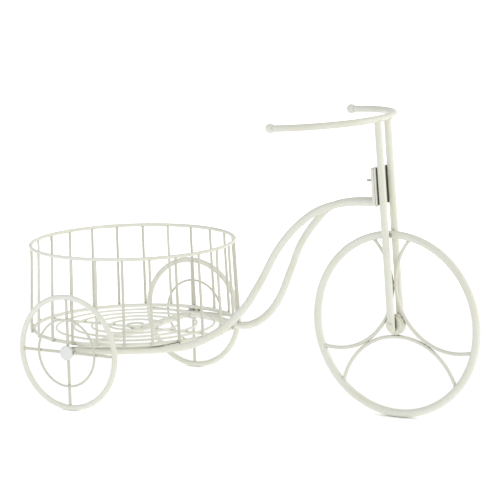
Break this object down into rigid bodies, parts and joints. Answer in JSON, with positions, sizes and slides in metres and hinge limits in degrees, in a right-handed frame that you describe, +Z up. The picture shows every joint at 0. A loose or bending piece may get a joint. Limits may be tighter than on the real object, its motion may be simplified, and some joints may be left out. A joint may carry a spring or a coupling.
{
  "type": "tricycle planter",
  "caption": "Round wire planter basket carried like a tricycle, between small rear wheels and a large front wheel with fork and handlebar.",
  "frame": {"origin": "on the floor, below the middle of the length and of the width", "axes": "+X forwards, towards the large front wheel; +Y to the planter's left; +Z up"},
  "size_m": [0.5938, 0.278, 0.3478],
  "materials": {
    "cream_paint": "satin cream-white enamel, slightly uneven",
    "white_cap": "satin white",
    "zinc": "zinc plated"
  },
  "bodies": {
    "frame": {"basket_top_ring": "cream_paint", "basket_bottom_ring": "cream_paint", "basket_upright_01": "cream_paint", "basket_upright_02": "cream_paint", "basket_upright_03": "cream_paint", "basket_upright_04": "cream_paint", "basket_upright_05": "cream_paint", "basket_upright_06": "cream_paint", "basket_upright_07": "cream_paint", "basket_upright_08": "cream_paint", "basket_upright_09": "cream_paint", "basket_upright_10": "cream_paint", "basket_upright_11": "cream_paint", "basket_upright_12": "cream_paint", "basket_upright_13": "cream_paint", "basket_upright_14": "cream_paint", "basket_upright_15": "cream_paint", "basket_upright_16": "cream_paint", "basket_upright_17": "cream_paint", "basket_upright_18": "cream_paint", "basket_upright_19": "cream_paint", "basket_upright_20": "cream_paint", "basket_upright_21": "cream_paint", "basket_upright_22": "cream_paint", "basket_upright_23": "cream_paint", "basket_upright_24": "cream_paint", "floor_ring_1": "cream_paint", "floor_ring_2": "cream_paint", "floor_ring_3": "cream_paint", "floor_ring_4": "cream_paint", "floor_ring_5": "cream_paint", "floor_rod": "cream_paint", "rear_axle": "cream_paint", "frame_tube_left": "cream_paint", "frame_tube_right": "cream_paint", "fork_leg_left": "cream_paint", "fork_leg_right": "cream_paint", "handlebar": "cream_paint", "bar_ball_left": "cream_paint", "bar_ball_right": "cream_paint", "fork_plate": "cream_paint", "frame_plate": "cream_paint", "bracket_bolt": "zinc", "bracket_nut": "zinc", "front_pin": "cream_paint", "front_pin_cap": "cream_paint", "rear_left_cap": "white_cap", "rear_right_cap": "white_cap"},
    "front_wheel": {"front_rim": "cream_paint", "front_hub": "cream_paint", "front_arc_1": "cream_paint", "front_arc_2": "cream_paint", "front_arc_3": "cream_paint"},
    "rear_left_wheel": {"rear_left_rim": "cream_paint", "rear_left_spoked_hub": "cream_paint", "rear_left_inner_ring": "cream_paint"},
    "rear_right_wheel": {"rear_right_rim": "cream_paint", "rear_right_spoked_hub": "cream_paint", "rear_right_inner_ring": "cream_paint"}
  },
  "joints": [
    {"name": "front_wheel_spin", "type": "hinge", "parent": "frame", "child": "front_wheel", "pos_m": [0.18925, 0, 0.1078], "axis": [0, 1, 0], "continuous": true},
    {"name": "rear_left_wheel_spin", "type": "hinge", "parent": "frame", "child": "rear_left_wheel", "pos_m": [-0.17475, 0.1329, 0.06885], "axis": [0, 1, 0], "continuous": true},
    {"name": "rear_right_wheel_spin", "type": "hinge", "parent": "frame", "child": "rear_right_wheel", "pos_m": [-0.17475, -0.1329, 0.06885], "axis": [0, 1, 0], "continuous": true}
  ]
}
